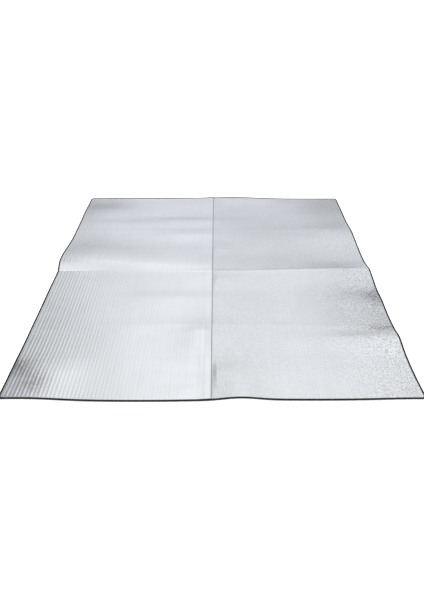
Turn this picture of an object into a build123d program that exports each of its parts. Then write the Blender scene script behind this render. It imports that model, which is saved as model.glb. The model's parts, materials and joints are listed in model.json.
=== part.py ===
"""Folding foam sleeping pad, laid out flat: two foil-faced foam webs lapped along the middle,
a black tape sewn round the edge, and seven pressed creases that fold it up like an accordion.

Millimetres, +Z up, +Y to the back. The origin is on the floor under the middle of the lap seam.
The rows are numbered from the front. Row 1 lies flat, and at rest each pair of rows behind it
makes a low ridge, because the pressed creases never spring quite flat again.
"""

import math
import os

from build123d import *

# Driving dimensions
MAT_WIDTH = 2000.0        # over the edge tape, side to side
MAT_LENGTH = 2000.0       # over the edge tape, measured along the sheet
ROWS = 8                  # panels between creases, front to back
FOAM_THICKNESS = 2.3      # closed-cell foam core
FILM_THICKNESS = 0.1      # aluminised film on each face
TAPE_THICKNESS = 0.3      # woven edge tape
TAPE_WIDTH = 10.0         # how far the tape covers each face
THREAD_HEIGHT = 0.2       # how far the stitching stands off the tape
THREAD_WIDTH = 0.8
STITCH_INSET = 7.0        # stitch line to the tape's outside edge
CORNER_RADIUS = 22.0      # outside of the tape
LAP_WIDTH = 34.0          # overlap of the left web on the right web
LAP_BOND = 0.1            # adhesive between the two webs
RIDGE_HEIGHT = 30.0       # rise of each ridge at rest

# Clearances
CREASE_GAP = 2.0          # between neighbouring panels, measured along the sheet
LAYER_GAP = 0.5           # between the stitching of neighbouring layers when folded up

# Sizes that follow
PANEL_THICKNESS = FOAM_THICKNESS + 2 * FILM_THICKNESS
TAPED_THICKNESS = PANEL_THICKNESS + 2 * TAPE_THICKNESS
FULL_THICKNESS = TAPED_THICKNESS + 2 * THREAD_HEIGHT
FACE_STEP = THREAD_HEIGHT + TAPE_THICKNESS    # floor to the panel's underside
ROW_PITCH = MAT_LENGTH / ROWS
HALF_WIDTH = MAT_WIDTH / 2
RIDGE_ANGLE = math.degrees(math.asin(RIDGE_HEIGHT / ROW_PITCH))
VALLEY_PIVOT = FULL_THICKNESS + LAYER_GAP / 2  # above the underside
RIDGE_PIVOT = -LAYER_GAP / 2                   # below it
BOND_BOTTOM = FACE_STEP + (PANEL_THICKNESS - LAP_BOND) / 2


def row_tilt(row):
    """How far a row's back end is tipped up at rest, in degrees."""
    if row in (1, ROWS):
        return 0.0
    return RIDGE_ANGLE if row % 2 == 0 else -RIDGE_ANGLE


def along(tilt, run, rise):
    """A step of run along a tilted row and rise square to it, as a vector."""
    a = math.radians(tilt)
    return Vector(0, run * math.cos(a) - rise * math.sin(a), run * math.sin(a) + rise * math.cos(a))


def row_origins():
    """The front end of each row's underside, worked out pivot by pivot from the front row."""
    origins = [Vector(0, 0, 0)]
    for row in range(1, ROWS):
        pivot = VALLEY_PIVOT if row % 2 else RIDGE_PIVOT
        hinge = origins[-1] + along(row_tilt(row), ROW_PITCH, pivot)
        origins.append(hinge + along(row_tilt(row + 1), 0, -pivot))
    back = origins[-1] + along(row_tilt(ROWS), ROW_PITCH, 0)
    return [origin - Vector(0, back.Y / 2, 0) for origin in origins]


ORIGINS = row_origins()


def row_plane(row, height):
    """The sketching plane of a row, height above its underside: x to the right, y to the back."""
    tilt = row_tilt(row)
    frame = Plane(origin=ORIGINS[row - 1], x_dir=(1, 0, 0), z_dir=along(tilt, 0, 1))
    return frame.offset(height)


def row_ends(row, inset):
    """Where a row starts and ends along the sheet. An open end is taped, so it takes the inset."""
    start = inset if row == 1 else CREASE_GAP / 2
    end = ROW_PITCH - (inset if row == ROWS else CREASE_GAP / 2)
    return start, end


def outline(row, side, inner, inset):
    """Sketches one web's outline in a row, from x = inner to the outside edge less the inset.
    side is 1 for the right web and -1 for the left one. The mat's own corners are rounded."""
    start, end = row_ends(row, inset)
    outer = side * (HALF_WIDTH - inset)
    radius = CORNER_RADIUS - inset
    with Locations(((inner + outer) / 2, (start + end) / 2)):
        Rectangle(abs(outer - inner), end - start)
    if row in (1, ROWS) and radius > 0:
        corner_y = start if row == 1 else end
        corner = vertices().sort_by_distance((outer, corner_y, 0))[0]
        fillet(corner, radius)


def make_foam(row, side):
    """One web's foam core in one row, rebated to half its thickness in the lap."""
    bottom = FACE_STEP + FILM_THICKNESS
    with BuildPart() as foam:
        with BuildSketch(row_plane(row, bottom)):
            outline(row, side, 0, TAPE_THICKNESS)
        extrude(amount=FOAM_THICKNESS)
        if side > 0:
            with BuildSketch(row_plane(row, bottom)):
                lap_strip(row)
            extrude(amount=BOND_BOTTOM - bottom)
        else:
            with BuildSketch(row_plane(row, bottom)):
                lap_strip(row)
            extrude(amount=BOND_BOTTOM + LAP_BOND - bottom, mode=Mode.SUBTRACT)
    return foam


def lap_strip(row):
    """Sketches the strip that the lap covers, left of the middle."""
    start, end = row_ends(row, TAPE_THICKNESS)
    with Locations((-LAP_WIDTH / 2, (start + end) / 2)):
        Rectangle(LAP_WIDTH, end - start)


def make_foil(row, side):
    """One web's two films in one row. The lower web's film runs on under the lap."""
    low, high = FACE_STEP, FACE_STEP + PANEL_THICKNESS - FILM_THICKNESS
    with BuildPart() as foil:
        with BuildSketch(row_plane(row, low)):
            outline(row, side, -LAP_WIDTH, TAPE_THICKNESS)
        extrude(amount=FILM_THICKNESS)
        with BuildSketch(row_plane(row, high)):
            outline(row, side, 0, TAPE_THICKNESS)
        extrude(amount=FILM_THICKNESS)
    return foil


def make_tape(row, side):
    """The edge tape on one side of a row, with its stitch line. It wraps both faces and the edge,
    and in the front and back rows it turns the corner and runs on to the middle."""
    with BuildPart() as tape:
        with BuildSketch(row_plane(row, THREAD_HEIGHT)):
            outline(row, side, 0, 0)
        extrude(amount=TAPED_THICKNESS)
        with BuildSketch(row_plane(row, FACE_STEP)):
            outline(row, side, -side * LAP_WIDTH, TAPE_THICKNESS)
        extrude(amount=PANEL_THICKNESS, mode=Mode.SUBTRACT)
        with BuildSketch(row_plane(row, 0)):
            open_face(row, side, TAPE_WIDTH)
        extrude(amount=FULL_THICKNESS, mode=Mode.SUBTRACT)
        for height in (0, FULL_THICKNESS - THREAD_HEIGHT):
            with BuildSketch(row_plane(row, height)):
                outline(row, side, 0, STITCH_INSET - THREAD_WIDTH / 2)
                with BuildSketch(mode=Mode.PRIVATE) as inside:
                    open_face(row, side, STITCH_INSET + THREAD_WIDTH / 2)
                add(inside.sketch, mode=Mode.SUBTRACT)
            extrude(amount=THREAD_HEIGHT)
    return tape


def open_face(row, side, inset):
    """Sketches the part of a row's face that a border of this width leaves open. It runs past the
    creases and past the middle, where there is no border."""
    start = inset if row == 1 else -CREASE_GAP
    end = ROW_PITCH - inset if row == ROWS else ROW_PITCH + CREASE_GAP
    inner, outer = -side * LAP_WIDTH, side * (HALF_WIDTH - inset)
    with Locations(((inner + outer) / 2, (start + end) / 2)):
        Rectangle(abs(outer - inner), end - start)
    radius = CORNER_RADIUS - inset
    if row in (1, ROWS) and radius > 0:
        corner_y = start if row == 1 else end
        corner = vertices().sort_by_distance((outer, corner_y, 0))[0]
        fillet(corner, radius)


def make_bond(row):
    """The adhesive strip that holds the two webs together in the lap."""
    with BuildPart() as bond:
        with BuildSketch(row_plane(row, BOND_BOTTOM)):
            lap_strip(row)
        extrude(amount=LAP_BOND)
    return bond


def save(piece, label):
    piece.part.label = label
    export_step(piece.part, f"parts/{label}.step")


os.makedirs("parts", exist_ok=True)
for row in range(1, ROWS + 1):
    for side, web in ((1, "right"), (-1, "left")):
        save(make_foam(row, side), f"{web}_foam_{row}")
        save(make_foil(row, side), f"{web}_foil_{row}")
        save(make_tape(row, side), f"{web}_tape_{row}")
    save(make_bond(row), f"lap_bond_{row}")
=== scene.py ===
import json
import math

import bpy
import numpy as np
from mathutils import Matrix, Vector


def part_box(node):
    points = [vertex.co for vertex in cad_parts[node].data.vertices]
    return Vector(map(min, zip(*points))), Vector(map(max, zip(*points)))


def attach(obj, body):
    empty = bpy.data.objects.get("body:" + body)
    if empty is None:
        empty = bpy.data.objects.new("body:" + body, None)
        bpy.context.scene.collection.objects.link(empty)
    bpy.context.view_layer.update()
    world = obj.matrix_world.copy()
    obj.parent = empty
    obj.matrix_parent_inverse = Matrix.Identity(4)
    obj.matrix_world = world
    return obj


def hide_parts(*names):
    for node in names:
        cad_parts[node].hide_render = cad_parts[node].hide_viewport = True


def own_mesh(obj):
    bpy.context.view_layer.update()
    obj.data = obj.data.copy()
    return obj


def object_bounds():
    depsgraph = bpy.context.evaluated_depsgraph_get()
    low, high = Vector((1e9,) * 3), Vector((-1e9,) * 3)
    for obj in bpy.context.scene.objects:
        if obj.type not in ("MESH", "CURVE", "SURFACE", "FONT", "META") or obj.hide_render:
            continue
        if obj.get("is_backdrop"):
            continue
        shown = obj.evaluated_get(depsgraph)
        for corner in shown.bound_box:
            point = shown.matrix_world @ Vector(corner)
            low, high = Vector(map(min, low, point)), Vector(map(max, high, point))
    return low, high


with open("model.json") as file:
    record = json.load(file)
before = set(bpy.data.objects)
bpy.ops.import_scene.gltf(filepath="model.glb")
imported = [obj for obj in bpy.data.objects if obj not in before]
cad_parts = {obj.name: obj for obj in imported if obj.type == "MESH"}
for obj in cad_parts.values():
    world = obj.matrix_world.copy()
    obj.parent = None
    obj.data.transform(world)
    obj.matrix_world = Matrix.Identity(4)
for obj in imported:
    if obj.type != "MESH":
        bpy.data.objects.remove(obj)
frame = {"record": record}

# %% [markdown]
# # A folding foam sleeping pad
#
# The pad is a thin sheet of closed-cell foam with silver film welded to both faces. Two webs of
# it are lapped along the middle, and a black tape is sewn round the edge. Seven pressed creases
# cross the sheet, and it folds up along them like an accordion. Everything below is worked out
# from the CAD frame: the rows, the creases and the edges all come from its boxes and its joints.

cad_low, cad_high = (Vector(v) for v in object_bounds())
joints = sorted(frame["record"]["behaviour"]["joints"], key=lambda j: j["name"])
ROWS = len(joints) + 1
half_width = cad_high.x
front, back = cad_low.y, cad_high.y
pivots = np.array([j["pos_m"] for j in joints])
tape_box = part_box("right_tape_2")
tape_width = tape_box[1].x - tape_box[0].x
lap_width = -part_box("right_foam_1")[0].x
sheet_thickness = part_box("right_foil_1")[1].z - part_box("right_foil_1")[0].z
full_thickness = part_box("right_tape_1")[1].z
print("rows", ROWS, "width", 2 * half_width, "length", back - front, "tape", tape_width)

# %% [markdown]
# ## Where each row lies
#
# A row runs from crease to crease, and two rows meet on the line of the pivot that they share. In
# the CAD model a row is a flat panel. Here the y of each row's front and back edge is worked out.

# %% Row edges
crease_y = np.concatenate([[front], pivots[:, 1], [back]])


# %% [markdown]
# ## The lie of the sheet
#
# A pad that has been packed away never lies quite flat. It keeps low ridges and valleys where it
# was creased, its free edges curl up, and the web on top pulls against the web below along the
# lap. The height of the sheet is one function of where you stand on it, so that every piece made
# later - film, tape, stitches - is laid on the same ground and nothing floats or sinks.

# %% Helpers for bumps and folds
FOLD_RADIUS = 0.004


def hump(d, width):
    """A smooth bump of distance d: one at zero, and falling as a bell curve of this width."""
    return np.exp(-0.5 * (d / width) ** 2)


def lopsided(d, before, after):
    """A bell curve of distance d with one width before its middle and another after it."""
    return np.exp(-0.5 * (d / np.where(d < 0, before, after)) ** 2)


def fold_line(d, width):
    """A pressed fold's profile: it falls off exponentially with the distance to its line, and the
    distance is rounded within the fold's radius, so that the tip isn't a spike."""
    return np.exp(-np.sqrt(d * d + FOLD_RADIUS**2) / width)


def smooth(t):
    """Rises smoothly from 0 to 1 as t goes from 0 to 1: three t squared less two t cubed."""
    t = np.clip(t, 0, 1)
    return t * t * (3 - 2 * t)


# %% [markdown]
# Swells are the large soft shapes: where each is, how far it reaches to the sides, to the front
# and to the back, and how high it stands, all in metres. The tallest is on the left edge just
# behind the middle crease, where the memory of the fold is strongest: there the sheet kinks up
# from a sharp foot, so such fold humps have a table of their own. Puckers are small ones with
# a steep side: along the lap, the adhesive holds one web back and it bulges beside the seam.
# Creases give the height that each pressed fold has kept on the left web and on the right one.

# %% The swells
SWELLS = [
    # x, y, reach to the sides, to the front, to the back, height
    (-0.88, 0.80, 0.16, 0.100, 0.055, 0.0085),
    (-0.70, 0.60, 0.40, 0.060, 0.035, 0.0035),
    (-0.15, 0.44, 0.20, 0.050, 0.040, 0.0045),
    (-0.20, 0.65, 0.22, 0.050, 0.025, 0.0028),
    (-0.25, -0.26, 0.22, 0.050, 0.040, 0.0030),
    (-0.25, -0.50, 0.26, 0.070, 0.040, 0.0032),
    (-0.83, -0.86, 0.120, 0.140, 0.080, 0.0170),
    (0.38, 0.00, 0.30, 0.150, 0.110, 0.0085),
    (1.00, -0.02, 0.30, 0.085, 0.060, 0.0200),
    (1.00, -0.30, 0.17, 0.050, 0.048, 0.0060),
    (0.86, -0.28, 0.090, 0.070, 0.058, 0.0080),
    (0.93, -0.545, 0.09, 0.026, 0.036, 0.0065),
    (1.00, 0.46, 0.26, 0.120, 0.080, 0.0130),
    (1.00, -0.60, 0.24, 0.060, 0.028, 0.0170),
    (0.40, 0.30, 0.30, 0.200, 0.150, 0.0050),
    (0.30, -0.45, 0.25, 0.180, 0.160, 0.0050),
    (0.23, 1.00, 0.16, 0.060, 0.060, 0.0090),
    (0.14, -1.00, 0.080, 0.040, 0.180, 0.0180),
    (0.95, -1.00, 0.16, 0.040, 0.070, 0.0100),
    (-1.00, -1.00, 0.10, 0.040, 0.060, 0.0050),
]
FOLD_HUMPS = [
    # x, reach to the sides, foot's y, length of the rise, length of the fall, height
    (-1.00, 0.30, 0.014, 0.085, 0.165, 0.0330),
    (-0.42, 0.34, 0.002, 0.085, 0.100, 0.0095),
]
PUCKERS = [
    # x, y, reach to the left, to the right, to the front, to the back, height
    (-0.020, 0.006, 0.280, 0.015, 0.005, 0.008, 0.0014),
    (0.030, -0.84, 0.011, 0.090, 0.050, 0.060, 0.0060),
    (0.032, -0.09, 0.013, 0.110, 0.060, 0.050, 0.0050),
    (0.030, 0.27, 0.012, 0.080, 0.050, 0.050, 0.0030),
    (-0.045, -0.545, 0.060, 0.020, 0.012, 0.030, 0.0040),
    (-0.055, -0.62, 0.075, 0.040, 0.090, 0.110, 0.0095),
    (-0.110, -0.94, 0.060, 0.030, 0.030, 0.025, 0.0022),
]
CREASES = [
    # crease number, height on the left web, height on the right web, reach
    (1, 0.0018, 0.0005, 0.014),
    (2, 0.0010, 0.0010, 0.026),
    (3, 0.0005, 0.0003, 0.030),
    (4, 0.0008, 0.0050, 0.020),
    (5, 0.0004, 0.0006, 0.030),
    (6, 0.0012, 0.0012, 0.034),
    (7, 0.0003, 0.0003, 0.030),
]
SLOW_WANDER, QUICK_WANDER = 0.004, 0.002
ROLLING = 0.0006
REST_LIFT = 0.0042          # how far the sheet stands off the floor between its swells
BACK_CURL, BACK_CURL_REACH = 0.0045, 0.018
TOUCH_DOWN = 0.0012         # the least lift, so that a valley meets the floor in a curve


def swell(x, y):
    """The sum of all swells, fold humps and puckers at each point. A fold hump rises as a quarter
    of a sine wave from a sharp foot, which lies on the pressed crease, and falls as a bell curve."""
    height = np.zeros(np.broadcast(x, y).shape)
    for sx, sy, across, near, far, tall in SWELLS:
        height = height + tall * hump(x - sx, across) * lopsided(y - sy, near, far)
    for sx, across, foot, rise, fall, tall in FOLD_HUMPS:
        up = np.sin(0.5 * math.pi * np.clip((y - foot) / rise, 0, 1))
        down = hump(np.maximum(y - foot - rise, 0), fall)
        height = height + tall * hump(x - sx, across) * up * down
    for sx, sy, left, right, near, far, tall in PUCKERS:
        height = height + tall * lopsided(x - sx, left, right) * lopsided(y - sy, near, far)
    return height


def creasing(x, y):
    """The pressed folds across the sheet: a fold's profile along each crease, with the left web's
    height blended into the right web's over the lap. Each line wanders in two sine waves."""
    height = np.zeros(np.broadcast(x, y).shape)
    right = smooth((x + 0.05) / 0.1)
    for number, left_tall, right_tall, width in CREASES:
        wander = SLOW_WANDER * np.sin(3.1 * x + number)
        wander = wander + QUICK_WANDER * np.sin(9.0 * x + 2 * number)
        line = crease_y[number] + wander * smooth((1 - abs(x)) * 8)
        tall = left_tall * (1 - right) + right_tall * right
        height = height + tall * fold_line(y - line, width)
    return height


def rolling(x, y):
    """Slow unevenness of the foam: three crossed sine waves, 0.3 to 0.6 metres long."""
    wave = np.sin(14.0 * y + 2.1 * x + 0.6) + 0.7 * np.sin(21.0 * y - 3.0 * x + 1.9)
    wave = wave + 0.6 * np.sin(9.0 * x + 5.0 * y + 4.0)
    return ROLLING * wave


def lie(x, y):
    """The height of the sheet's middle above the floor at rest: half its thickness, plus the root
    of its lift squared and the least lift squared. The last two centimetres of the back edge curl
    up, where the sewing has drawn the tape tight."""
    lift = REST_LIFT + swell(x, y) + creasing(x, y) + rolling(x, y)
    lift = lift + BACK_CURL * smooth((y - back) / BACK_CURL_REACH + 1)
    floor = 0.5 * full_thickness
    return floor + np.sqrt(np.maximum(lift, 0) ** 2 + TOUCH_DOWN**2)


print("lie at the left edge's hump, mm:", round(float(lie(-1.0, 0.1)) * 1000, 1))

# %% [markdown]
# ## The film's own texture
#
# The film is heat-welded to the foam in lengthwise bands, so it ripples across the sheet: fine
# ribs run from front to back, and each second one is a little deeper. The left web came off its
# roll with deep ribs that are strongest near its outer edge. The right web is smoother, and its
# film is crazed with fine crinkles that the material adds later. Along the middle the left web
# rides over the right one, so the lap has a rise, a drape for the tape and a groove of its own.

# %% Ribs and lap
RIB_PITCH = 0.0192
FINE_RIB, OUTER_RIB, CORNER_RIB, RIGHT_RIB = 0.00008, 0.00016, 0.00034, 0.00006
TAPED_RIB = 0.15                      # the share of a rib that is left under the tape
PRESS_FADE = 0.012
LAP_RISE = 0.0020
RISE_STARTS, RISE_RUNS = 2.2, 1.4     # in lap widths, left of the middle
DRAPE_REACH = 0.008
GROOVE_DEPTH, GROOVE_WIDTH = 0.0014, 0.004


def ribs(x, y):
    """Ripples across x: a cosine at the rib pitch, with a weaker one at twice the pitch. They grow
    towards the left web's outer edge, a third more at the back, and are deepest near its front
    corner. The sewn tape presses all of them nearly flat."""
    turn = 2 * math.pi * (x + half_width) / RIB_PITCH
    drift = 0.5 * np.sin(2.3 * y) + 0.3 * np.sin(5.9 * y + 1.0)
    fine = np.cos(turn + drift)
    wide = np.cos(0.5 * turn + 0.4 * drift)
    outer = smooth((-x - 0.45) / 0.5)
    corner = hump(x + 0.93, 0.10) * hump(y + 0.84, 0.13)
    at_back = 1.35 - 0.35 * smooth((0.15 - y) / 0.5)
    left = (OUTER_RIB * outer * at_back + CORNER_RIB * corner) * (0.35 * wide + 0.85 * fine)
    left = left + FINE_RIB * fine
    right = RIGHT_RIB * (0.6 + 0.4 * np.sin(31.0 * x + 2.0 * y)) * (fine + 0.55 * wide)
    to_edge = np.minimum(half_width - abs(x), np.minimum(y - front, back - y))
    pressed = TAPED_RIB + (1 - TAPED_RIB) * smooth((to_edge - tape_width) / PRESS_FADE)
    return np.where(x < 0, left, right) * pressed


def lap_step(x):
    """The upper web's rise where it rides over the lower one: a smooth ramp from the left that is
    full a little way into the lap, and nothing right of the middle."""
    on = smooth((x + lap_width * RISE_STARTS) / (lap_width * RISE_RUNS))
    return np.where(x <= 0, LAP_RISE * on, 0.0)


def lap_drape(x):
    """The same rise as the tape takes it: it slopes down past the upper web's cut edge."""
    return np.where(x <= 0, lap_step(x), LAP_RISE * (1 - smooth(x / DRAPE_REACH)))


def lap_groove(x):
    """How far the lower web dips where it comes out from under the upper one: half a bell curve."""
    return np.where(x > 0, GROOVE_DEPTH * hump(x, GROOVE_WIDTH), 0.0)


print("ribs across one web:", round(half_width / RIB_PITCH))

# %% [markdown]
# ## Building grids
#
# Every piece is a grid of points: rows of numbers worked out all at once and joined into quads.
# Grids are fast to make, their faces are even, and their edges can be laid exactly on their
# neighbours' edges so that no gap opens.

# %% Grid and mesh helpers


def grid_faces(across, along, loop=False):
    """Quads of a grid whose points run across fastest. With loop, the last point joins the first."""
    i = np.arange(along - 1)[:, None]
    j = np.arange(across if loop else across - 1)[None, :]
    k = (j + 1) % across
    near, far = i * across, (i + 1) * across
    return np.stack([near + j, near + k, far + k, far + j], -1).reshape(-1, 4)


def mesh_piece(name, points, faces, uv=None):
    """A new object from points and quads, with its uv taken from the points when it is given."""
    mesh = bpy.data.meshes.new(name)
    points = np.asarray(points, float).reshape(-1, 3)
    mesh.vertices.add(len(points))
    mesh.vertices.foreach_set("co", points.ravel())
    mesh.loops.add(faces.size)
    mesh.loops.foreach_set("vertex_index", faces.ravel())
    mesh.polygons.add(len(faces))
    mesh.polygons.foreach_set("loop_start", np.arange(0, faces.size, faces.shape[1]))
    mesh.update(calc_edges=True)
    mesh.polygons.foreach_set("use_smooth", np.ones(len(faces), bool))
    if uv is not None:
        layer = mesh.uv_layers.new(name="UVMap")
        layer.data.foreach_set("uv", np.asarray(uv, float).reshape(-1, 2)[faces.ravel()].ravel())
    piece = bpy.data.objects.new(name, mesh)
    bpy.context.scene.collection.objects.link(piece)
    return piece


def sharpen(piece, rim):
    """Marks as sharp every edge whose two ends are both on the rim, so that the shading of the
    face doesn't roll over it. rim is true for the points that are on it."""
    ends = np.empty(2 * len(piece.data.edges), np.int32)
    piece.data.edges.foreach_get("vertices", ends)
    on_rim = np.asarray(rim).ravel()[ends.reshape(-1, 2)].all(axis=1)
    sharp = piece.data.attributes.new("sharp_edge", "BOOLEAN", "EDGE")
    sharp.data.foreach_set("value", on_rim)


def spread(start, stop, step):
    """Evenly spaced values from start to stop, about step apart, both ends kept."""
    return np.linspace(start, stop, max(2, int(math.ceil(abs(stop - start) / step)) + 1))


# %% [markdown]
# ## The film on top
#
# Aluminised film is the face that you see. Each web has its own length of film, and each row's
# stretch is a grid laid on the sheet's lie, with the ribs added square to the floor. The corner
# grids are drawn in to the tape's round corner, and every grid's rim is turned in by half of the
# foam's thickness so that the sheet has a body when you look at its edge. At the seam the left
# film's rim is turned down further, as far as the web has risen, so that it meets the right film.

# %% Laying a grid on the sheet
CORNER_RADIUS = 0.022
UNDER_TAPE = 0.0006
TURN_DOWN = 0.0011
NEAR_END = 0.0008
FOLD_REACH = 0.026
END_ZONE, END_FADE = 0.76, 0.23
FRONT_BOW, BACK_SHIFT, BACK_SLANT = 0.008, 0.006, 0.022
half_sheet = 0.5 * sheet_thickness
print("half of the sheet's thickness, mm:", round(1000 * half_sheet, 2))


def round_corners(x, y, row, inset):
    """Draws points of the front and back rows in to the mat's round corners: a point further
    from a corner's centre than its radius moves along the line to the centre until it is there."""
    if row not in (1, ROWS):
        return x, y
    radius = CORNER_RADIUS - inset
    centre_x = np.sign(x) * (half_width - CORNER_RADIUS)
    centre_y = front + CORNER_RADIUS if row == 1 else back - CORNER_RADIUS
    out_x = x - centre_x
    out_y = y - centre_y
    outside = (out_x * np.sign(x) > 0) & (out_y * (-1 if row == 1 else 1) > 0)
    reach = np.maximum(np.hypot(out_x, out_y), 1e-9)
    pull = np.where(outside & (reach > radius), radius / reach, 1.0)
    return centre_x + out_x * pull, centre_y + out_y * pull


def bowed(x, y):
    """The two cut ends aren't quite straight in plan: the front one bows out left of the middle,
    and the back one comes forward a little from left to right. Only the end rows take this."""
    front_share = smooth((-y - END_ZONE) / END_FADE)
    back_share = smooth((y - END_ZONE) / END_FADE)
    out_front = -FRONT_BOW * hump(x + 0.38, 0.28)
    out_back = BACK_SHIFT - BACK_SLANT * smooth((x + 0.1) / 0.7)
    return y + front_share * out_front + back_share * out_back


def web_span(side, lower):
    """Where a web starts and ends across the sheet. The right web runs on under the lap."""
    if side == "left":
        return (-half_width + UNDER_TAPE, -lap_width if lower else 0.0)
    return (-lap_width if lower else 0.0, half_width - UNDER_TAPE)


def row_span(row):
    """Where a row starts and ends front to back, with its open ends under the tape."""
    start = crease_y[row - 1] + (UNDER_TAPE if row == 1 else 0)
    stop = crease_y[row] - (UNDER_TAPE if row == ROWS else 0)
    return start, stop


def film_height(x, y, face):
    """The film's height: the lie, plus half the sheet towards its face, plus the ribs. The upper
    web rides up over the lap, and the lower web dips where it comes out from under it."""
    height = lie(x, y) + face * half_sheet + ribs(x, y)
    if face > 0:
        height = height + lap_step(x) - lap_groove(x)
    return height


def film_grid(row, side, face, step_x, step_y):
    """A row's film as a grid of points with its four edges turned towards the foam."""
    x0, x1 = web_span(side, face < 0)
    y0, y1 = row_span(row)
    xs = spread(x0, x1, step_x)
    ends = spread(0, FOLD_REACH, step_y / 2)[1:]
    middle = spread(y0 + FOLD_REACH, y1 - FOLD_REACH, step_y)[1:-1]
    xs = np.concatenate([xs[:1], xs, xs[-1:]])
    ys = np.concatenate([
        [y0, y0, y0 + NEAR_END], y0 + ends, middle, (y1 - ends)[::-1], [y1 - NEAR_END, y1, y1]
    ])
    x, y = np.meshgrid(xs, ys)
    z = film_height(x, y, face)
    turned = np.zeros(x.shape)
    turned[:, [0, -1]] = 1
    turned[[0, -1], :] = 1
    z = z - face * turned * TURN_DOWN
    if side == "left" and face > 0:
        z[:, -1] = z[:, -1] - LAP_RISE
    x, y = round_corners(x, y, row, UNDER_TAPE)
    rim = np.zeros(x.shape, bool)
    rim[1:-1, [1, -2]] = True
    rim[[1, -2], 1:-1] = True
    return np.stack([x, bowed(x, y), z], -1), rim


# %% Top films, row by row
FINE_X, FINE_Y = 0.0024, 0.0052
COARSE_X, COARSE_Y = 0.0062, 0.0080


def settle(piece, row, node_names):
    """Gives a piece its own mesh, rides it on its row's body and hides the CAD parts that it replaces."""
    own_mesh(piece)
    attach(piece, f"row_{row}")
    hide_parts(*node_names)
    return piece


films = []
for row in range(1, ROWS + 1):
    for side in ("left", "right"):
        points, rim = film_grid(row, side, 1, FINE_X, FINE_Y)
        faces = grid_faces(rim.shape[1], rim.shape[0])
        film = mesh_piece(f"{side}_top_film_{row}", points, faces, points[..., :2])
        sharpen(film, rim)
        settle(film, row, [f"{side}_foil_{row}"])
        films.append(film)
print("top films", len(films), "faces each about", len(films[0].data.polygons))

# %% [markdown]
# ## The film underneath
#
# The underside is faced with the same film. It hardly shows while the pad lies flat, but it is
# the outside of the pack when the pad is folded, so it gets its own grid, a little coarser. Its
# faces are turned round so that they point down.

# %% Under films
for row in range(1, ROWS + 1):
    for side in ("left", "right"):
        points, rim = film_grid(row, side, -1, COARSE_X, COARSE_Y)
        faces = grid_faces(rim.shape[1], rim.shape[0])[:, ::-1]
        film = mesh_piece(f"{side}_under_film_{row}", points, faces, points[..., :2])
        sharpen(film, rim)
        settle(film, row, [f"{side}_foil_{row}"])
        films.append(film)
print("films", len(films))

# %% [markdown]
# ## The foam core
#
# Between the films is the foam itself, a closed slab a little thinner than the sheet. It is made
# as a profile across the sheet, once over the top and back underneath, carried from the front of
# the row to its back, and closed at both ends by pulling the last profiles to the middle height.

# %% Foam cores
film_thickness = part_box("right_foam_1")[0].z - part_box("right_foil_1")[0].z
CORE_INSET = 0.0012
CORE_X, CORE_Y = 0.006, 0.012
CORE_SLACK = 0.0003
half_core = half_sheet - film_thickness - CORE_SLACK


def core_points(row, side):
    """Closed loops across the row: along the top, then back along the underside. The first and
    the last loop lie at the middle height, which shuts the slab's ends. In the lap each web keeps
    only its own half: the right web's top and the left web's underside lie at the middle height."""
    x0, x1 = web_span(side, side == "right")
    y0, y1 = row_span(row)
    xs = spread(x0 + CORE_INSET, x1 - CORE_INSET, CORE_X)
    ys = spread(y0 + CORE_INSET, y1 - CORE_INSET, CORE_Y)
    ys = np.concatenate([ys[:1], ys, ys[-1:]])
    loop_x = np.concatenate([xs, xs[::-1]])
    thick = np.concatenate([np.ones(len(xs)), -np.ones(len(xs))]) * half_core
    x, y = np.meshgrid(loop_x, ys)
    thickness = np.broadcast_to(thick, x.shape).copy()
    under_lap = (x < 0) if side == "right" else (x > -lap_width)
    thickness[under_lap & (thickness > 0 if side == "right" else thickness < 0)] = 0
    thickness[[0, -1]] = 0
    z = lie(x, y) + ribs(x, y) + thickness
    if side == "left":
        z = z + np.where(thickness > 0, lap_step(x), 0)
    else:
        z = z - np.where(thickness > 0, lap_groove(x), 0)
    x, y = round_corners(x, y, row, CORE_INSET)
    return np.stack([x, bowed(x, y), z], -1), len(loop_x), len(ys)


cores = []
for row in range(1, ROWS + 1):
    for side in ("left", "right"):
        points, across, along = core_points(row, side)
        core = mesh_piece(f"{side}_foam_core_{row}", points, grid_faces(across, along, loop=True))
        settle(core, row, [f"{side}_foam_{row}"])
        cores.append(core)
print("foam cores", len(cores))

# %% [markdown]
# ## The lap's adhesive
#
# The webs are stuck together in the lap by a strip of hot-melt adhesive. It can't be seen, but it
# is there: a thin ribbon between the webs, laid at the middle height.

# %% Adhesive strips
GLUE_SIDE, GLUE_END = 0.001, 0.002
GLUE_X, GLUE_Y = 0.004, 0.012
glue_strips = []
for row in range(1, ROWS + 1):
    y0, y1 = row_span(row)
    xs = spread(-lap_width + GLUE_SIDE, -GLUE_SIDE, GLUE_X)
    ys = spread(y0 + GLUE_END, y1 - GLUE_END, GLUE_Y)
    x, y = np.meshgrid(xs, ys)
    points = np.stack([x, y, lie(x, y) + ribs(x, y)], -1)
    glue = mesh_piece(f"lap_glue_{row}", points, grid_faces(x.shape[1], x.shape[0]))
    settle(glue, row, [f"lap_bond_{row}"])
    glue_strips.append(glue)
print("adhesive strips", len(glue_strips))

# %% [markdown]
# ## The edge tape
#
# A woven polyester tape is folded over the raw edge and sewn through. It is a profile - up from
# the middle of the edge, over a small round, across the face and down to the film - carried along
# the edge. In the front and back rows the path turns both round corners, so one row's tape is a
# single length, as on the real thing. The stitching pulls the tape down along its line.

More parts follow.
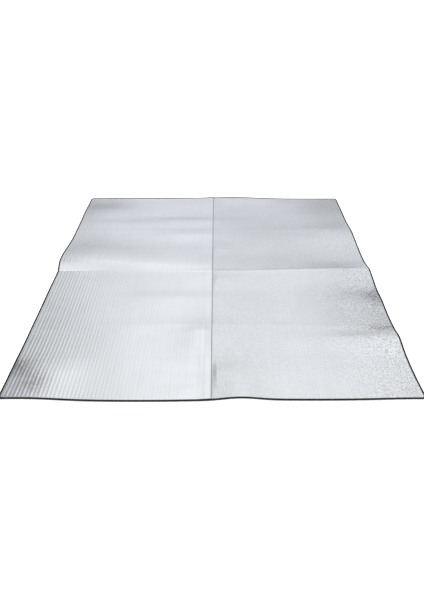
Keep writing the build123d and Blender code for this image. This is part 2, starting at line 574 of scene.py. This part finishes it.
# %% The path round the edge
STITCH_INSET = 0.70 * tape_width
STITCH_PITCH = 0.0056
TAPE_STEP = 0.004
TAPE_STAND = 0.00035
TURN_POINTS = 12
TAPE_PROFILE = np.array([
    # inward from the edge, out of the face (both as shares: tape width, half thickness)
    (0.000, 0.00),
    (0.006, 0.55),
    (0.030, 0.90),
    (0.085, 1.03),
    (0.180, 1.05),
    (0.400, 1.03),
    (0.560, 1.02),
    (0.700, 0.93),
    (0.830, 1.02),
    (0.960, 1.02),
    (0.995, 0.97),
    (1.000, 0.84),
])
print("stitch line, mm in from the edge:", round(1000 * STITCH_INSET, 1))


def edge_path(row, sign, step):
    """Points along the mat's edge in a row and the inward direction at each. sign is -1 for the
    left side and 1 for the right one. A front or back row starts at the left crease end and goes
    round both corners to the right one."""
    y0, y1 = crease_y[row - 1], crease_y[row]
    if row not in (1, ROWS):
        ys = spread(y0, y1, step)
        path = np.stack([np.full(len(ys), sign * half_width), ys], -1)
        return path, np.tile([-float(sign), 0.0], (len(ys), 1))
    outward = -1.0 if row == 1 else 1.0
    edge = front if row == 1 else back
    crease = y1 if row == 1 else y0
    centre_x, centre_y = half_width - CORNER_RADIUS, edge - outward * CORNER_RADIUS
    down = spread(crease, centre_y, step)[:-1]
    turn = np.linspace(0, math.pi / 2, TURN_POINTS)
    run = spread(-centre_x, centre_x, step)[1:-1]
    ax = np.concatenate([
        np.full(len(down), -half_width),
        -centre_x - CORNER_RADIUS * np.cos(turn),
        run,
        centre_x + CORNER_RADIUS * np.sin(turn),
        np.full(len(down), half_width),
    ])
    ay = np.concatenate([
        down,
        centre_y + outward * CORNER_RADIUS * np.sin(turn),
        np.full(len(run), edge),
        centre_y + outward * CORNER_RADIUS * np.cos(turn),
        down[::-1],
    ])
    nx = np.concatenate([np.ones(len(down)), np.cos(turn), 0 * run, -np.sin(turn), -np.ones(len(down))])
    ny = np.concatenate([0 * down, np.sin(turn), 1 + 0 * run, np.cos(turn), 0 * down]) * -outward
    return np.stack([ax, ay], -1), np.stack([nx, ny], -1)


def walked(path):
    """How far along the path each of its points is: the running sum of its steps' lengths."""
    return np.concatenate([[0], np.cumsum(np.hypot(*np.diff(path, axis=0).T))])


def tape_points(path, inward, face):
    """The tape's profile carried along the path: inward over the face, and out of it by its share
    of half the thickness. It lies on the sheet's own height, a little above the film."""
    share_in, share_out = TAPE_PROFILE.T
    x = path[:, None, 0] + inward[:, None, 0] * share_in * tape_width
    y = path[:, None, 1] + inward[:, None, 1] * share_in * tape_width
    height = lie(x, y) + ribs(x, y) + (lap_drape(x) * np.minimum(share_out, 1) if face > 0 else 0)
    z = height + face * share_out * (half_sheet + TAPE_STAND)
    length = np.broadcast_to(walked(path)[:, None], x.shape)
    uv = np.stack([length, np.broadcast_to(share_in * tape_width, x.shape)], -1)
    return np.stack([x, bowed(x, y), z], -1), uv


def turned_out(points, faces, outward):
    """The faces as they are, or all turned over, so that on the whole they look outward: the
    cross products of their edges are summed against the outward directions."""
    a, b, d = (points[faces[:, k]] for k in (0, 1, 3))
    agree = (np.cross(b - a, d - a) * outward).sum()
    return faces if agree > 0 else faces[:, ::-1]


# %% Stitches
STITCH_HALF = 0.36          # half a stitch's length, as a share of the pitch
THREAD_RADIUS = 0.00036
THREAD_ARCH = 0.00022
THREAD_SINK = 0.94          # where a stitch's ends lie, as a share of the tape's height
THREAD_TIP = 0.02           # keeps the two ends from shrinking to nothing
THREAD_RINGS, THREAD_SIDES = 5, 6


def stitch_points(path, inward, face):
    """One small thread for each stitch: a six-sided tube along the path, as wide as the root of one
    less t to the fourth and arched as one less t squared, where t goes from -1 to 1 along it."""
    length = walked(path)
    centres = np.arange(length[0] + STITCH_PITCH / 2, length[-1], STITCH_PITCH)
    t = np.linspace(-1, 1, THREAD_RINGS)
    place = centres[:, None] + t * STITCH_PITCH * STITCH_HALF
    x, y, nx, ny = (np.interp(place, length, v) for v in (*path.T, *inward.T))
    x = x + nx * STITCH_INSET
    y = y + ny * STITCH_INSET
    base = lie(x, y) + ribs(x, y) + (lap_drape(x) if face > 0 else 0)
    base = base + face * (THREAD_SINK * (half_sheet + TAPE_STAND) + THREAD_ARCH * (1 - t * t))
    radius = THREAD_RADIUS * np.sqrt(np.maximum(1 - t**4, THREAD_TIP))
    around = np.arange(THREAD_SIDES) * 2 * math.pi / THREAD_SIDES
    px = x[..., None] + nx[..., None] * np.cos(around) * radius[:, None]
    py = bowed(x, y)[..., None] + ny[..., None] * np.cos(around) * radius[:, None]
    pz = base[..., None] + np.sin(around) * radius[:, None]
    points = np.stack([px, py, pz], -1)
    quads = grid_faces(THREAD_SIDES, THREAD_RINGS, loop=True)
    one = points[0].reshape(-1, 3)
    quads = turned_out(one, quads, one[quads].mean(axis=1) - one.mean(axis=0))
    offsets = np.arange(len(centres)) * THREAD_SIDES * THREAD_RINGS
    return points.reshape(-1, 3), (quads[None] + offsets[:, None, None]).reshape(-1, 4)


def tape_piece(row, face):
    """A row's tape on one face, with its stitches. The tape takes the first material and the
    thread the second."""
    parts = []
    for sign in ((-1, 1) if row not in (1, ROWS) else (-1,)):
        path, inward = edge_path(row, sign, TAPE_STEP)
        points, uv = tape_points(path, inward, face)
        faces = grid_faces(points.shape[1], points.shape[0])
        parts.append((points, turned_out(points.reshape(-1, 3), faces, (0, 0, face)), uv, 0))
        thread, thread_faces = stitch_points(path, inward, face)
        parts.append((thread, thread_faces, np.zeros((len(thread), 2)), 1))
    starts = np.cumsum([0] + [p[0].reshape(-1, 3).shape[0] for p in parts])
    points = np.concatenate([p[0].reshape(-1, 3) for p in parts])
    faces = np.concatenate([p[1] + start for p, start in zip(parts, starts)])
    uv = np.concatenate([p[2].reshape(-1, 2) for p in parts])
    where = "top" if face > 0 else "under"
    piece = mesh_piece(f"edge_tape_{where}_{row}", points, faces, uv)
    index = np.concatenate([np.full(len(p[1]), p[3]) for p in parts])
    piece.data.polygons.foreach_set("material_index", index)
    return settle(piece, row, [f"left_tape_{row}", f"right_tape_{row}"])


tapes = [tape_piece(row, face) for row in range(1, ROWS + 1) for face in (1, -1)]
print("tapes", len(tapes), "faces in the front one", len(tapes[0].data.polygons))

# %% [markdown]
# ## Finishes
#
# Each finish is built from Object coordinates in metres, so that a pattern has its true size and
# runs on unbroken from one row to the next. The tape's weave follows the tape round the corners,
# so it uses the tape's own map: metres along the edge, and metres across.

# %% Node helpers


def new_finish(name):
    """A material with only a Principled shader and its output: its tree and the shader."""
    material = bpy.data.materials.new(name)
    material.use_nodes = True
    tree = material.node_tree
    tree.nodes.clear()
    output = tree.nodes.new("ShaderNodeOutputMaterial")
    shader = tree.nodes.new("ShaderNodeBsdfPrincipled")
    tree.links.new(shader.outputs["BSDF"], output.inputs["Surface"])
    return material, tree, shader


def feed(tree, socket, value):
    """Sets an input to a value, or links it when the value is another node's output."""
    if isinstance(value, bpy.types.NodeSocket):
        tree.links.new(value, socket)
    else:
        socket.default_value = value


def calc(tree, operation, *values, clamp=False):
    """A Math node on numbers or outputs."""
    node = tree.nodes.new("ShaderNodeMath")
    node.operation = operation
    node.use_clamp = clamp
    for socket, value in zip(node.inputs, values):
        feed(tree, socket, value)
    return node.outputs[0]


def ramped(tree, value, low, high, to_low=0.0, to_high=1.0):
    """Maps a value from one range smoothly on to another."""
    node = tree.nodes.new("ShaderNodeMapRange")
    node.interpolation_type = "SMOOTHSTEP"
    for socket, v in zip(node.inputs, (value, low, high, to_low, to_high)):
        feed(tree, socket, v)
    return node.outputs[0]


def scaled(tree, coordinates, scale):
    """Coordinates stretched by a scale along each axis."""
    node = tree.nodes.new("ShaderNodeMapping")
    tree.links.new(coordinates, node.inputs["Vector"])
    node.inputs["Scale"].default_value = scale
    return node.outputs[0]


def noise(tree, coordinates, scale, detail=2.0, rough=0.5):
    """Soft noise between 0 and 1, scale cells to the metre."""
    node = tree.nodes.new("ShaderNodeTexNoise")
    tree.links.new(coordinates, node.inputs["Vector"])
    node.inputs["Scale"].default_value = scale
    node.inputs["Detail"].default_value = detail
    node.inputs["Roughness"].default_value = rough
    return node.outputs[0]


def cells(tree, coordinates, scale):
    """Distance to the nearest of scattered points, scale of them to the metre."""
    node = tree.nodes.new("ShaderNodeTexVoronoi")
    tree.links.new(coordinates, node.inputs["Vector"])
    node.inputs["Scale"].default_value = scale
    return node.outputs["Distance"]


def mixed(tree, share, first, second):
    """Two colours mixed by a share."""
    node = tree.nodes.new("ShaderNodeMix")
    node.data_type = "RGBA"
    feed(tree, node.inputs["Factor"], share)
    feed(tree, node.inputs["A"], first)
    feed(tree, node.inputs["B"], second)
    return node.outputs["Result"]


def bumped(tree, shader, height, distance, below=None):
    """Adds a bump of this height in metres to the shader, over an earlier bump if there is one."""
    node = tree.nodes.new("ShaderNodeBump")
    node.inputs["Strength"].default_value = 1.0
    node.inputs["Distance"].default_value = distance
    tree.links.new(height, node.inputs["Height"])
    if below is not None:
        tree.links.new(below, node.inputs["Normal"])
    tree.links.new(node.outputs[0], shader.inputs["Normal"])
    return node.outputs[0]


# %% [markdown]
# ### Aluminised film
#
# The film is a very thin layer of aluminium on clear plastic: a metal, but a satin one, because
# the foam's cells print through it. Two scales matter. From far away it is a soft silver grey that
# changes a little where the film is rubbed. From close by it is crazed into cells of a few
# millimetres, each tipped its own way, which makes it sparkle. A Voronoi pattern tips the cells
# and a finer noise gives the printed foam. The left web's film is pulled into ribs and is a bit
# smoother between them. The right web's is crinkled in a loose square grid towards its outer edge.
#
# Painted shade darkens the film in soft patches, which stand in for darker reflections of the room.
# The mottled patches are small, at the front left corner and on the right edge. The even ones are
# wider, at the right and at the back corners. Each is a soft patch: one at its middle, falling to
# nothing within its reach.
# A dark line of painted shade runs along the seam, and a fainter one where the lower web's edge
# shows through the upper one.

# %% Film finishes


def product(tree, *values):
    """All of these numbers or outputs multiplied together."""
    total = values[0]
    for value in values[1:]:
        total = calc(tree, "MULTIPLY", total, value)
    return total


def near_line(tree, value, place, reach):
    """One where a coordinate is at this place, falling smoothly to nothing within its reach."""
    away = calc(tree, "ABSOLUTE", calc(tree, "SUBTRACT", value, place))
    return ramped(tree, away, 0.0, reach, 1.0, 0.0)


# each silver's colour at the front of the sheet and at its back
DULL_SILVER = ((0.84, 0.848, 0.852, 1), (0.79, 0.80, 0.83, 1))
BRIGHT_SILVER = ((0.885, 0.892, 0.896, 1), (0.83, 0.84, 0.872, 1))
# painted shade along the seam and along the lower web's hidden edge, as shares of the tone
SEAM_SHADE, HIDDEN_EDGE_SHADE = -0.55, -0.12
# painted shade: small mottled dark patches that stand in for dark reflections
MOTTLED_PAINTED_SHADE = [
    # x, y, reach to the sides, reach along, how much darker
    (1.00, -0.255, 0.150, 0.110, 0.28),
    (0.95, -0.520, 0.150, 0.042, 0.22),
    (-1.00, -0.790, 0.180, 0.100, 0.36),
    (-0.86, -0.910, 0.120, 0.090, 0.20),
]
# painted shade: wide, even dark patches that stand in for darker reflections
EVEN_PAINTED_SHADE = [
    # x, y, reach to the sides, reach along, how much darker
    (1.00, -0.32, 0.60, 0.42, 0.23),
    (1.00, 0.90, 0.50, 0.50, 0.24),
    (-0.95, 0.88, 0.42, 0.42, 0.20),
]


def darkened(tree, x, y, patches):
    """How much darker the film is: the sum over the patches of their depth times the two falls,
    one across the sheet and one along it."""
    total = 0.0
    for at_x, at_y, aside, along, depth in patches:
        patch = product(tree, near_line(tree, x, at_x, aside), near_line(tree, y, at_y, along), depth)
        total = calc(tree, "ADD", total, patch)
    return total


def film_finish(name, crinkle, grain, grid, sparkle, brushed):
    """Silver film. crinkle, grain and grid are the heights in metres of its crazed cells, of the
    foam's cells printing through, and of the square grid of fine creases near the outer edge.
    sparkle and brushed are how much its painted speckles of highlight and shade, which stand in for the
    glitter of the crazed cells, and its lengthwise strands change its tone."""
    material, tree, shader = new_finish(name)
    place = tree.nodes.new("ShaderNodeTexCoord").outputs["Object"]
    parted = tree.nodes.new("ShaderNodeSeparateXYZ")
    tree.links.new(place, parted.inputs[0])
    x, y = parted.outputs["X"], parted.outputs["Y"]

    rubbed = noise(tree, place, 3.0, 3.0)
    clouded = noise(tree, scaled(tree, place, (1.0, 2.6, 1.0)), 6.0, 2.0)
    tone = calc(tree, "ADD", calc(tree, "MULTIPLY", rubbed, 0.6), calc(tree, "MULTIPLY", clouded, 0.4))
    depth = ramped(tree, y, front, back)
    dull = mixed(tree, depth, *DULL_SILVER)
    bright = mixed(tree, depth, *BRIGHT_SILVER)
    colour = mixed(tree, ramped(tree, tone, 0.35, 0.65), dull, bright)

    outer = ramped(tree, calc(tree, "ABSOLUTE", x), 0.55 * half_width, half_width, 0.15, 1.0)
    # painted glints: a speckled tone of painted highlight and shade that stands in for the glitter of
    # the crazed cells
    specks = noise(tree, scaled(tree, place, (1.0, 0.9, 1.0)), 115.0, 4.0)
    painted_glints = ramped(tree, specks, 0.30, 0.70, -1.0, 1.0)
    streaks = noise(tree, scaled(tree, place, (1.0, 0.06, 1.0)), 75.0, 2.0)
    strands = ramped(tree, streaks, 0.36, 0.64, -1.0, 1.0)
    crazing = product(tree, outer, ramped(tree, y, 0.35, -0.55, 0.45, 1.0))
    change = calc(tree, "ADD", product(tree, painted_glints, crazing, sparkle), product(tree, strands, brushed))
    # painted shade: a dark line where the upper web's cut edge meets the lower web
    seam = product(tree, near_line(tree, x, 0.0015, 0.0045), SEAM_SHADE)
    to_front = ramped(tree, y, -0.35 * half_width, -0.75 * half_width)
    # painted shade: a faint line over the lower web's cut edge, towards the front
    hidden_edge = product(tree, near_line(tree, x, -lap_width, 0.005), to_front, HIDDEN_EDGE_SHADE)
    shade = calc(tree, "ADD", calc(tree, "ADD", seam, hidden_edge), calc(tree, "ADD", change, 1.0))
    # painted shade of the patches: the mottled ones vary with the painted speckles, the even ones don't
    painted_mottled_shade = product(tree, darkened(tree, x, y, MOTTLED_PAINTED_SHADE), ramped(tree, painted_glints, -1.0, 1.0, 1.5, 0.5))
    shade = calc(tree, "SUBTRACT", shade, calc(tree, "ADD", painted_mottled_shade, darkened(tree, x, y, EVEN_PAINTED_SHADE)))
    toned = tree.nodes.new("ShaderNodeVectorMath")
    toned.operation = "SCALE"
    tree.links.new(colour, toned.inputs[0])
    tree.links.new(shade, toned.inputs["Scale"])
    feed(tree, shader.inputs["Base Color"], toned.outputs[0])
    shader.inputs["Metallic"].default_value = 1.0
    feed(tree, shader.inputs["Roughness"], ramped(tree, clouded, 0.3, 0.7, 0.31, 0.37))

    crazed = cells(tree, place, 210.0)
    broad = noise(tree, scaled(tree, place, (1.0, 0.7, 1.0)), 80.0, 3.0, 0.6)
    print_through = noise(tree, place, 620.0, 2.0)
    lines_x = cells(tree, scaled(tree, place, (110.0, 9.0, 1.0)), 1.0)
    lines_y = cells(tree, scaled(tree, place, (9.0, 110.0, 1.0)), 1.0)
    first = bumped(tree, shader, calc(tree, "MULTIPLY", broad, outer), crinkle * 2.0)
    second = bumped(tree, shader, crazed, crinkle, first)
    squares = calc(tree, "ADD", lines_x, lines_y)
    third = bumped(tree, shader, calc(tree, "MULTIPLY", squares, outer), grid, second)
    bumped(tree, shader, print_through, grain, third)
    return material


left_film = film_finish(
    "left_film", crinkle=0.00022, grain=0.00006, grid=0.00010, sparkle=0.02, brushed=0.010
)
right_film = film_finish(
    "right_film", crinkle=0.00110, grain=0.00008, grid=0.00060, sparkle=0.22, brushed=0.008
)
for film in films:
    film.data.materials.append(left_film if film.name.startswith("left") else right_film)
print("film finishes given to", len(films), "films")

# %% [markdown]
# ### Foam, adhesive, tape and thread
#
# The foam is white and matt, and its skin shows small closed cells. The adhesive is a milky
# ribbon. The tape is black polyester: a plain weave whose threads pass over and under each other
# every three quarters of a millimetre, with a soft sheen, and rubbed slightly grey along its
# outside fold. The thread is a softer black than the tape, a little glossier and twisted.

# %% Foam and adhesive
foam_finish, tree, shader = new_finish("foam")
place = tree.nodes.new("ShaderNodeTexCoord").outputs["Object"]
blotch = noise(tree, place, 25.0, 3.0)
white = mixed(tree, blotch, (0.80, 0.81, 0.82, 1), (0.88, 0.885, 0.885, 1))
feed(tree, shader.inputs["Base Color"], white)
shader.inputs["Roughness"].default_value = 0.75
bumped(tree, shader, cells(tree, place, 900.0), 0.0002)
for core in cores:
    core.data.materials.append(foam_finish)

glue_finish, tree, shader = new_finish("adhesive")
place = tree.nodes.new("ShaderNodeTexCoord").outputs["Object"]
milk = noise(tree, place, 90.0, 2.0)
cream = mixed(tree, milk, (0.72, 0.70, 0.62, 1), (0.80, 0.79, 0.73, 1))
feed(tree, shader.inputs["Base Color"], cream)
shader.inputs["Roughness"].default_value = 0.4
bumped(tree, shader, milk, 0.0002)
for glue in glue_strips:
    glue.data.materials.append(glue_finish)
print("foam given to", len(cores), "cores and adhesive to", len(glue_strips), "strips")

# %% Tape and thread
WEAVE_PITCH = 0.00075
RUBBED_REACH = 0.0022
tape_finish, tree, shader = new_finish("edge_tape")
coord = tree.nodes.new("ShaderNodeTexCoord")
parted = tree.nodes.new("ShaderNodeSeparateXYZ")
tree.links.new(coord.outputs["UV"], parted.inputs[0])
turn = math.pi / WEAVE_PITCH
warp = calc(tree, "SINE", calc(tree, "MULTIPLY", parted.outputs[0], turn))
weft = calc(tree, "SINE", calc(tree, "MULTIPLY", parted.outputs[1], turn))
woven = calc(tree, "ADD", calc(tree, "MULTIPLY", warp, weft), 1.0)
woven = calc(tree, "MULTIPLY", woven, 0.5)
fuzz = noise(tree, coord.outputs["Object"], 60.0, 4.0)
rub = ramped(tree, parted.outputs[1], 0.0, RUBBED_REACH, 1.0, 0.0)
shade = calc(tree, "ADD", calc(tree, "MULTIPLY", woven, 0.35), calc(tree, "MULTIPLY", fuzz, 0.5))
shade = calc(tree, "ADD", shade, calc(tree, "MULTIPLY", rub, 0.25), clamp=True)
black = mixed(tree, shade, (0.004, 0.004, 0.005, 1), (0.020, 0.020, 0.022, 1))
feed(tree, shader.inputs["Base Color"], black)
shader.inputs["Roughness"].default_value = 0.7
shader.inputs["Specular IOR Level"].default_value = 0.3
shader.inputs["Sheen Weight"].default_value = 0.03
shader.inputs["Sheen Roughness"].default_value = 0.5
under = bumped(tree, shader, fuzz, 0.0003)
bumped(tree, shader, woven, 0.00014, under)

thread_finish, tree, shader = new_finish("thread")
place = tree.nodes.new("ShaderNodeTexCoord").outputs["Object"]
ply = noise(tree, place, 900.0, 1.0)
soft_black = mixed(tree, ply, (0.020, 0.020, 0.022, 1), (0.085, 0.085, 0.090, 1))
feed(tree, shader.inputs["Base Color"], soft_black)
shader.inputs["Roughness"].default_value = 0.45
bumped(tree, shader, ply, 0.0001)
for tape in tapes:
    tape.data.materials.append(tape_finish)
    tape.data.materials.append(thread_finish)
print("tape and thread given to", len(tapes), "tapes")

# %% [markdown]
# ## Floor, light and camera
#
# A satin metal shows what is round it more than it shows light, so the room is one big soft box,
# bright high up and dimmer towards the walls and at the very top. Two dark panels, the flags that a
# studio uses on metal, stand beyond the sheet's sides and give the ribs and the curled edges their
# contrast. The room is brightest along its middle and a little dimmer to both sides, but for a
# bright wall at the far right. The floor is a plain pale sheet that glows a little, as on a light
# table, so that no hard shadow lies under the edges.

# %% Floor
FLOOR_REACH = 30
floor_corners = [(-1, -1), (1, -1), (1, 1), (-1, 1)]
floor_points = [(FLOOR_REACH * a, FLOOR_REACH * b, 0) for a, b in floor_corners]
floor_mesh = bpy.data.meshes.new("floor")
floor_mesh.from_pydata(floor_points, [], [(0, 1, 2, 3)])
floor = bpy.data.objects.new("floor", floor_mesh)
bpy.context.scene.collection.objects.link(floor)
floor_finish, tree, shader = new_finish("floor")
shader.inputs["Base Color"].default_value = (0.93, 0.93, 0.93, 1)
shader.inputs["Roughness"].default_value = 1.0
shader.inputs["Specular IOR Level"].default_value = 0.0
shader.inputs["Emission Color"].default_value = (1, 1, 1, 1)
shader.inputs["Emission Strength"].default_value = 0.55
floor_mesh.materials.append(floor_finish)
floor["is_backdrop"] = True
print("floor", 2 * FLOOR_REACH, "metres square")

# %% Light
world = bpy.data.worlds.new("room")
bpy.context.scene.world = world
world.use_nodes = True
tree = world.node_tree
room = tree.nodes["Background"]
direction = tree.nodes.new("ShaderNodeTexCoord").outputs["Generated"]
parted = tree.nodes.new("ShaderNodeSeparateXYZ")
tree.links.new(direction, parted.inputs[0])
across, rise = parted.outputs["X"], parted.outputs["Z"]


def flag(towards, edge, core, shade):
    """A dark panel in the room: a round patch of directions about this one. Where the cosine of the
    angle to its middle is core, only the share that shade gives is left; at edge it's gone."""
    turned = tree.nodes.new("ShaderNodeVectorMath")
    turned.operation = "DOT_PRODUCT"
    tree.links.new(direction, turned.inputs[0])
    turned.inputs[1].default_value = Vector(towards).normalized()
    return ramped(tree, turned.outputs["Value"], edge, core, 1.0, shade)


# each ramp: from and to along its direction, then the room's brightness at those two
overhead = ramped(tree, rise, 0.05, 0.85, 0.44, 1.22)
zenith = ramped(tree, rise, 0.86, 1.0, 1.0, 0.80)
left_flag = flag((-0.62, 0.45, 0.64), 0.88, 1.0, 0.24)
right_flag = flag((0.66, 0.42, 0.62), 0.945, 0.99, 0.45)
left_side = ramped(tree, across, -0.40, -0.12, 0.86, 1.0)
right_side = ramped(tree, across, 0.00, 0.15, 1.0, 0.80)
far_right = ramped(tree, across, 0.33, 0.42, 1.0, 1.35)
strength = product(tree, overhead, zenith, left_flag, right_flag, left_side, right_side, far_right)
seen = tree.nodes.new("ShaderNodeLightPath").outputs["Is Camera Ray"]
strength = calc(tree, "MAXIMUM", strength, seen)
room.inputs["Color"].default_value = (0.95, 0.97, 1.0, 1)
tree.links.new(strength, room.inputs["Strength"])

sun_data = bpy.data.lights.new("sky_panel", "SUN")
sun_data.angle = math.radians(50)
sun_data.energy = 1.5
sun = bpy.data.objects.new("sky_panel", sun_data)
bpy.context.scene.collection.objects.link(sun)
sun.rotation_euler = (math.radians(-8), math.radians(10), 0)
sun.visible_glossy = False
bpy.context.scene.view_settings.view_transform = "Standard"
print("sky panel", sun_data.energy, "over", round(math.degrees(sun_data.angle)), "degrees")

# %% Camera
LENS, SENSOR = 25.8, 36.0
EYE = Vector((0.0297, -2.2115, 1.6645))
YAW, PITCH, ROLL = -0.0153, 0.7087, -0.0118
ahead = Vector((math.sin(YAW) * math.cos(PITCH), math.cos(YAW) * math.cos(PITCH), -math.sin(PITCH)))
level = Vector((math.cos(YAW), -math.sin(YAW), 0))
upward = level.cross(ahead)
right_way = level * math.cos(ROLL) + upward * math.sin(ROLL)
up_way = right_way.cross(ahead)
camera_data = bpy.data.cameras.new("camera")
camera_data.lens = LENS
camera_data.sensor_width = SENSOR
camera_data.dof.use_dof = False
camera = bpy.data.objects.new("camera", camera_data)
bpy.context.scene.collection.objects.link(camera)
camera.matrix_world = Matrix.Translation(EYE) @ Matrix((right_way, up_way, -ahead)).transposed().to_4x4()
bpy.context.scene.camera = camera
print("camera at", [round(v, 3) for v in EYE])
